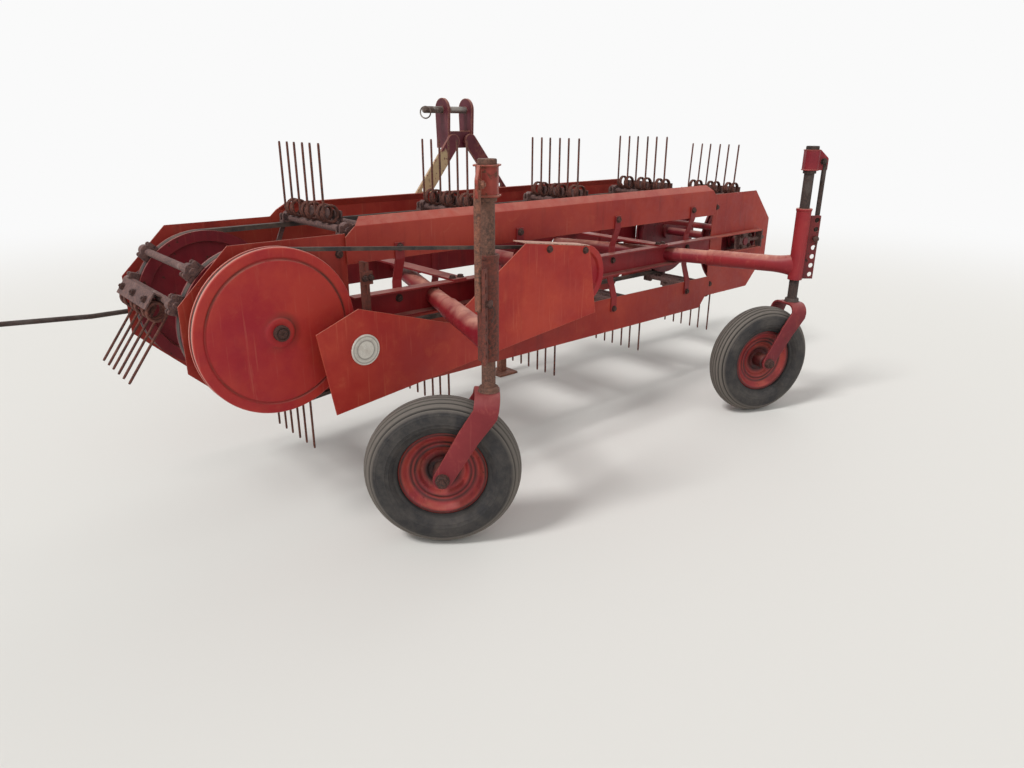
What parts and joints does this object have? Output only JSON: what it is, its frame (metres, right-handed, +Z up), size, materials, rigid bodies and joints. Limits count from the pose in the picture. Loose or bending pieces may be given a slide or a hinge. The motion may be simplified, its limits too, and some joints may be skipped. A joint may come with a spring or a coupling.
{
  "type": "tractor-mounted belt rake (hay tedder and side rake)",
  "caption": "Hitch-mounted belt rake: spring tines on bars between two endless belts, red sheet walls, side belt drive, two height-adjustable caster wheels.",
  "frame": {"origin": "on the ground, under the middle of the whole machine's box", "axes": "+X to the machine's right seen from behind, +Y forward to the tractor, +Z up"},
  "size_m": [2.945, 1.2985, 1.14],
  "materials": {
    "red_paint": "faded, chalky and scuffed",
    "rusty_steel": "rusted brown",
    "belt_rubber": "dusty",
    "tyre_rubber": "ribbed, dusty",
    "worn_steel": "worn bright with rust",
    "pale_paint": "faded",
    "reflector_white": "dusty"
  },
  "bodies": {
    "frame": {"front_channel": "red_paint", "rear_channel": "red_paint", "cross_members": "red_paint", "shaft_housing": "red_paint", "headstock": "red_paint", "lower_hitch": "red_paint", "hitch_pins": "worn_steel", "front_plate_left": "red_paint", "front_plate_right": "red_paint", "rear_plate_left": "red_paint", "rear_plate_right": "red_paint", "front_shield_upper": "red_paint", "front_shield_lower": "red_paint", "rear_shield_upper": "red_paint", "rear_shield_lower": "red_paint", "shield_straps": "red_paint", "clamp_bracket": "rusty_steel", "roller_left": "rusty_steel", "roller_right": "rusty_steel", "bearings_left": "rusty_steel", "belt_tensioners": "rusty_steel", "tine_belts": "belt_rubber", "tine_bars": "rusty_steel", "tines": "rusty_steel", "drive_shaft": "worn_steel", "driven_disc": "red_paint", "drive_belt": "belt_rubber", "belt_guard": "red_paint", "guard_cover": "pale_paint", "reflector": "reflector_white", "swath_rod": "rusty_steel", "arm_left": "red_paint", "arm_right": "red_paint", "arm_head_left": "rusty_steel", "arm_head_right": "red_paint", "stand_socket": "red_paint"},
    "lock_left": {"lock_bracket_left": "rusty_steel"},
    "lock_right": {"lock_bracket_right": "red_paint"},
    "swivel_left": {"caster_left": "red_paint"},
    "swivel_right": {"caster_right": "red_paint"},
    "wheel_left": {"tyre_left": "tyre_rubber", "rim_left": "red_paint"},
    "wheel_right": {"tyre_right": "tyre_rubber", "rim_right": "red_paint"},
    "leg": {"stand_leg": "rusty_steel"}
  },
  "joints": [
    {"name": "height_left", "type": "slide", "parent": "frame", "child": "lock_left", "axis": [0, 0, 1], "range_m": [-0.099, 0.066]},
    {"name": "caster_left", "type": "hinge", "parent": "lock_left", "child": "swivel_left", "pos_m": [-0.58453, -0.57773, 0.5], "axis": [0, 0, 1], "continuous": true},
    {"name": "wheel_spin_left", "type": "hinge", "parent": "swivel_left", "child": "wheel_left", "pos_m": [-0.67909, -0.50385, 0.205], "axis": [-0.6157, -0.788, 0], "continuous": true},
    {"name": "height_right", "type": "slide", "parent": "frame", "child": "lock_right", "axis": [0, 0, 1], "range_m": [-0.099, 0.066]},
    {"name": "caster_right", "type": "hinge", "parent": "lock_right", "child": "swivel_right", "pos_m": [0.89947, -0.57773, 0.5], "axis": [0, 0, 1], "continuous": true},
    {"name": "wheel_spin_right", "type": "hinge", "parent": "swivel_right", "child": "wheel_right", "pos_m": [0.78821, -0.53277, 0.205], "axis": [-0.3746, -0.9272, 0], "continuous": true},
    {"name": "stand_slide", "type": "slide", "parent": "frame", "child": "leg", "axis": [0, 0, 1], "range_m": [0, 0.35]}
  ]
}
